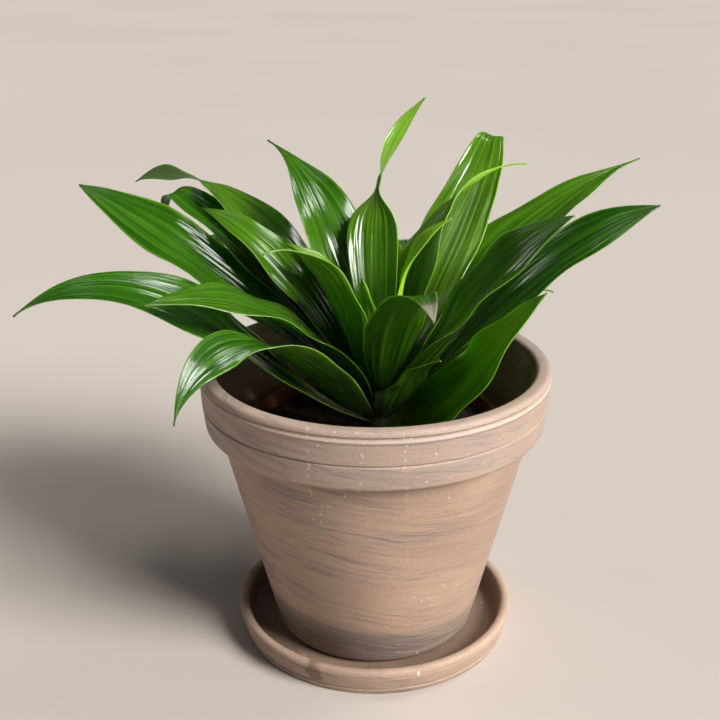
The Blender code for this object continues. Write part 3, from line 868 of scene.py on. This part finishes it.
def stem_finish():
    """Dark green stem, browner at the soil and fresh green at its growing point."""
    made, start, shader = finish_start("stem_green")
    place = start.add("ShaderNodeTexCoord", out="Object")
    x, y, z = place.split()
    grain = start.noise(start.join(x * 500.0, y * 500.0, z * 60.0), 1.0, 3.0)
    low = 1 - z.rise(SOIL_TOP * MM, (SOIL_TOP + 14.0) * MM)
    colour = grain.rise(0.35, 0.7).mix(STEM_DARK, STEM_GREEN)
    colour = (low * 0.7).mix(colour, STEM_BROWN)
    colour = z.rise((STEM_TOP - 9.0) * MM, STEM_TOP * MM).mix(colour, STEM_FRESH)
    start.plug(shader, "Base Color", colour)
    start.plug(shader, "Roughness", 0.5 + 0.2 * grain)
    bump = start.add("ShaderNodeBump", None,
                     {"Height": grain, "Strength": 0.3, "Distance": 0.0003})
    start.plug(shader, "Normal", bump)
    return made


def leaf_finish():
    """Glossy green blade: lengthwise stripes, yellow-green margins, painted shade towards its base,
    a tip that is dull or dry, and a paler under face, brightened on young leaves by a painted glow
    of light shining through."""
    made, start, shader = finish_start("leaf")

    def kept(name):
        """A value that the leaf's tree kept at each point."""
        return start.add("ShaderNodeAttribute", {"attribute_name": name}, out="Fac")

    v, s, upper, youth, dull, phase = map(
        kept, ("across", "along", "upper", "youth", "dull", "phase"))
    place = start.add("ShaderNodeTexCoord", out="Object")
    stripes = start.noise(start.join(v * 5.0, s * 1.5, phase * 3.0), 1.0, 2.0)
    veins = start.noise(start.join(v * 14.0, s * 2.0, phase * 5.0), 1.0, 2.0)
    blotch = start.noise(place, 45.0, 3.0)
    fresh = (youth + 0.2 * (blotch - 0.5)).of("MAXIMUM", 0.0).of("MINIMUM", 1.0)
    colour = fresh.mix(LEAF_GREEN, LEAF_YOUNG)
    lighter = fresh.mix(STRIPE_GREEN, STRIPE_YOUNG)
    colour = (stripes.rise(0.45, 0.66) * 0.6).mix(colour, lighter)
    colour = (veins.rise(0.5, 0.72) * 0.40).mix(colour, lighter)
    colour = (veins.rise(0.5, 0.30) * 0.55).mix(colour, colour * 0.5)
    colour = (stripes.rise(0.48, 0.32) * 0.35).mix(colour, colour * 0.6)
    margin = abs(v).rise(0.955, 0.99)
    colour = (margin * 0.6).mix(colour, LEAF_MARGIN)
    # Darker towards the base: painted shade of the crowded crown
    colour = colour * (0.42 + 0.58 * s.rise(0.05, 0.48))
    dry = dull.rise(0.9, 1.8)
    dull = dull.of("MINIMUM", 1.0)
    colour = (dull * 0.7).mix(colour, LEAF_DULL)
    colour = (dry * (0.6 + 0.4 * stripes)).mix(colour, LEAF_DRY)
    # The under face is paler; on young leaves it is brightened further, a painted glow of light
    # shining through
    colour = (1 - upper).mix(colour, colour * (0.8 + 0.7 * fresh) + UNDER_FACE)
    start.plug(shader, "Base Color", colour)
    gloss = 0.10 + 0.08 * blotch + 0.25 * dull + 0.16 * (1 - upper)
    start.plug(shader, "Roughness", gloss)
    shader.inputs["Subsurface Weight"].default_value = 0.6
    shader.inputs["Subsurface Radius"].default_value = (0.5, 1.0, 0.1)
    shader.inputs["Subsurface Scale"].default_value = 0.003
    fine = start.noise(start.join(v * 70.0, s * 6.0, phase * 5.0), 1.0, 1.0)
    relief = 0.8 * veins + 0.2 * fine
    bump = start.add("ShaderNodeBump", None,
                     {"Height": relief, "Strength": 0.4, "Distance": 0.0004})
    start.plug(shader, "Normal", bump)
    return made


def floor_finish():
    """A plain pale floor, faintly clouded."""
    made, start, shader = finish_start("pale_floor")
    place = start.add("ShaderNodeTexCoord", out="Object")
    cloud = start.noise(place, 1.2, 2.0)
    colour = cloud.mix(FLOOR_SHADE, FLOOR_LIGHT)
    start.plug(shader, "Base Color", colour)
    shader.inputs["Roughness"].default_value = 0.9
    shader.inputs["Specular IOR Level"].default_value = 0.2
    return made


def make_floor():
    """A floor that reaches past the picture's edges."""
    size = 40.0
    mesh = bpy.data.meshes.new("studio_floor")
    corners = [(-size, -size, 0.0), (size, -size, 0.0), (size, size, 0.0), (-size, size, 0.0)]
    mesh.from_pydata(corners, [], [(0, 1, 2, 3)])
    mesh.materials.append(floor_finish())
    floor = bpy.data.objects.new("studio_floor", mesh)
    bpy.context.scene.collection.objects.link(floor)


def aim(thing, place, target):
    """Put a thing in its place and point it at a target."""
    thing.location = place
    thing.rotation_euler = (Vector(target) - Vector(place)).to_track_quat("-Z", "Y").to_euler()


def add_light(name, kind, place, target, energy, colour, **sizes):
    """A lamp aimed at a target. Sizes are the lamp's own settings, such as its angle."""
    lamp = bpy.data.lights.new(name, kind)
    lamp.energy = energy
    lamp.color = colour
    for key, value in sizes.items():
        setattr(lamp, key, value)
    light = bpy.data.objects.new(name, lamp)
    bpy.context.scene.collection.objects.link(light)
    aim(light, place, target)


def light_studio():
    """Soft daylight from two windows on the right, glints from the left and above, low fill."""
    middle = (0.0, 0.0, 0.15)
    add_light("front_window", "SUN", (1.25, -0.88, 1.20), middle, 6.1, DAYLIGHT,
              angle=math.radians(26))
    add_light("side_window", "SUN", (0.94, 0.34, 1.64), middle, 0.9, DAYLIGHT,
              angle=math.radians(15))
    add_light("left_window", "SUN", (-1.2, 0.25, 1.1), middle, 0.18, DAYLIGHT,
              angle=math.radians(9))
    add_light("ceiling_panel", "AREA", (-0.25, -0.1, 1.35), middle, 1.0, PANEL_WHITE,
              shape="RECTANGLE", size=0.5, size_y=0.3)
    world = bpy.data.worlds.new("studio")
    world.use_nodes = True
    sky = world.node_tree.nodes["Background"]
    sky.inputs["Color"].default_value = SKY_WHITE
    sky.inputs["Strength"].default_value = 0.06
    bpy.context.scene.world = world
    bpy.context.scene.view_settings.view_transform = "Standard"


def place_camera():
    """The camera, in its place and turned as it was for the photograph."""
    pitch, yaw, roll = map(math.radians, (CAMERA_PITCH, CAMERA_YAW, CAMERA_ROLL))
    turn = Matrix.Rotation(yaw, 3, "Z")
    ahead = turn @ Vector((0.0, math.cos(pitch), -math.sin(pitch)))
    right = turn @ Vector((1.0, 0.0, 0.0))
    up = right.cross(ahead)
    right, up = (right * math.cos(roll) + up * math.sin(roll),
                 up * math.cos(roll) - right * math.sin(roll))
    view = Matrix((right, up, -ahead)).transposed().to_4x4()
    view.translation = Vector(CAMERA_PLACE)
    lens = bpy.data.cameras.new("camera")
    lens.sensor_width = SENSOR
    lens.lens = LENS
    lens.clip_start = 0.01
    camera = bpy.data.objects.new("camera", lens)
    bpy.context.scene.collection.objects.link(camera)
    camera.matrix_world = view
    bpy.context.scene.camera = camera


def main():
    """Set the stage, then build every piece of the plant and its holders."""
    place_camera()
    make_floor()
    light_studio()
    make_saucer(clay_finish("saucer_clay", stained=False))
    make_clay_pot(clay_finish("pot_clay", stained=True))
    make_nursery_pot(nursery_finish())
    make_soil(soil_finish())
    make_stem(stem_finish())
    tree = leaf_tree()
    finish = leaf_finish()
    for number, leaf in enumerate(LEAVES, start=1):
        make_leaf(number, leaf, tree, finish)


main()
